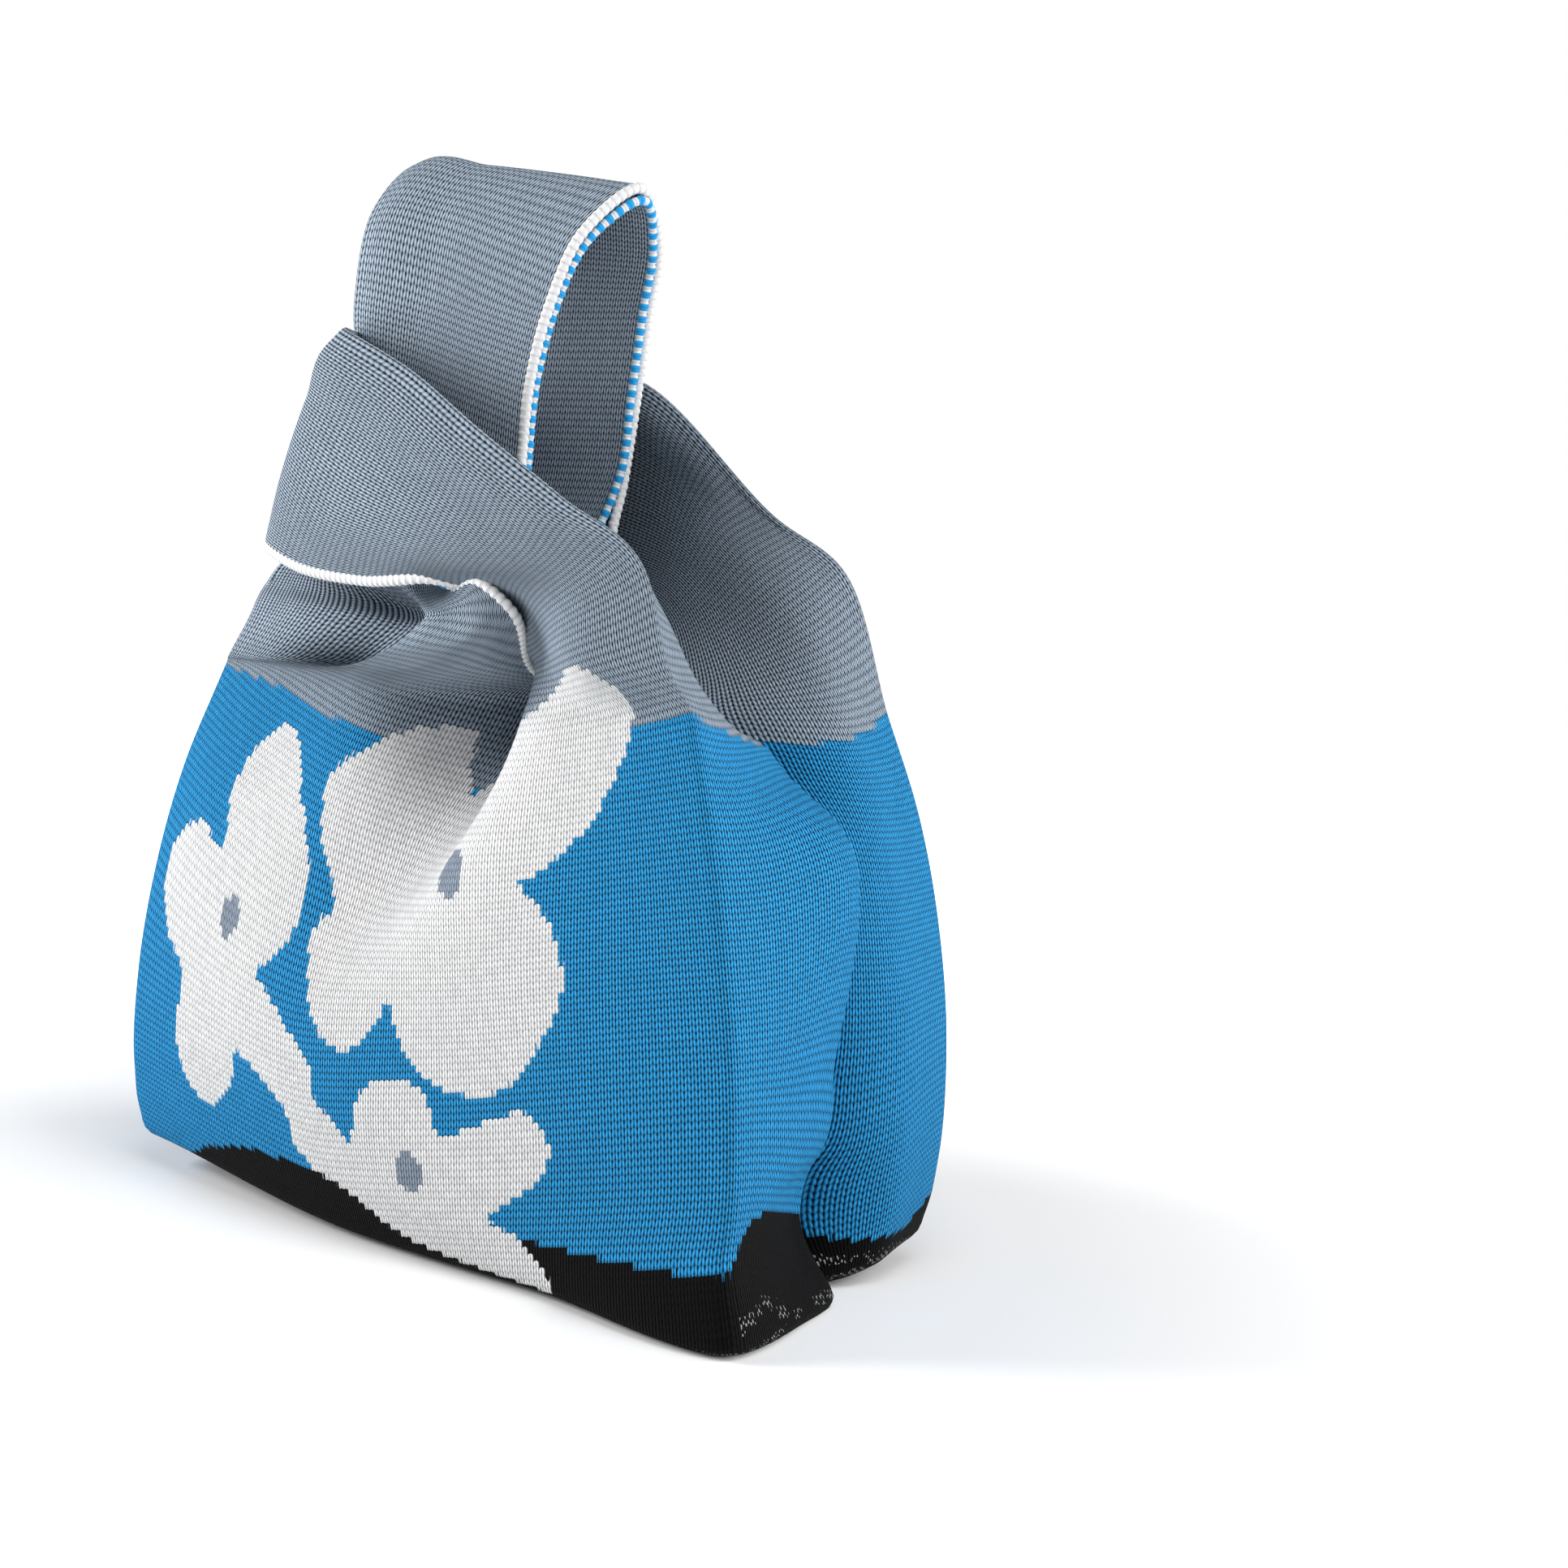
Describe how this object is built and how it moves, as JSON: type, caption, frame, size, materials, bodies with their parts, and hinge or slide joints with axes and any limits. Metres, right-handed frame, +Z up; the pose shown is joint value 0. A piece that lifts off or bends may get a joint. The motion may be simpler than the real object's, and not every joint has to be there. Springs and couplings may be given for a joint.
{
  "type": "knitted knot bag wristlet",
  "caption": "Soft knitted bag hung from the wrist: a long strap loops up through a shorter strap, which closes the pleated body like a knot.",
  "frame": {"origin": "middle of the flat base, on the surface that the bag stands on", "axes": "+X to the right along the front panel, +Y from front to back, +Z up towards the wrist loop"},
  "size_m": [0.2291, 0.1436, 0.3109],
  "materials": {
    "base": "black double knit",
    "bottom_seam": "black linked seam",
    "front_panel": "blue double knit with off-white flowers",
    "back_panel": "blue double knit",
    "left_gusset": "blue double knit",
    "right_gusset": "blue double knit",
    "long_strap_front": "slate grey double knit",
    "wrist_loop": "slate grey double knit",
    "long_strap_back": "slate grey double knit",
    "short_strap_front": "slate grey double knit",
    "short_loop": "slate grey double knit",
    "short_strap_back": "slate grey double knit",
    "front_neck_edge": "off-white chain edge",
    "back_neck_edge": "off-white chain edge",
    "left_slit_edge": "blue and white chain edge",
    "right_slit_edge": "blue and white chain edge",
    "wrist_loop_white_edge": "off-white chain edge",
    "wrist_loop_blue_edge": "blue and white chain edge",
    "short_loop_white_edge": "off-white chain edge",
    "short_loop_blue_edge": "blue and white chain edge"
  },
  "bodies": {
    "bag": {"base": "base", "bottom_seam": "bottom_seam", "front_panel": "front_panel", "back_panel": "back_panel", "left_gusset": "left_gusset", "right_gusset": "right_gusset", "long_strap_front": "long_strap_front", "long_strap_back": "long_strap_back", "short_strap_front": "short_strap_front", "short_strap_back": "short_strap_back", "front_neck_edge": "front_neck_edge", "back_neck_edge": "back_neck_edge", "left_slit_edge": "left_slit_edge", "right_slit_edge": "right_slit_edge"},
    "wrist_loop": {"wrist_loop": "wrist_loop", "wrist_loop_white_edge": "wrist_loop_white_edge", "wrist_loop_blue_edge": "wrist_loop_blue_edge"},
    "short_loop": {"short_loop": "short_loop", "short_loop_white_edge": "short_loop_white_edge", "short_loop_blue_edge": "short_loop_blue_edge"}
  },
  "joints": [
    {"name": "wrist_loop_swivel", "type": "hinge", "parent": "bag", "child": "wrist_loop", "pos_m": [-0.035, 0.013, 0.266], "axis": [0, 0, 1], "range_deg": [-35, 35]},
    {"name": "knot_slide", "type": "slide", "parent": "bag", "child": "short_loop", "axis": [0, 0, 1], "range_m": [0, 0.012]}
  ]
}
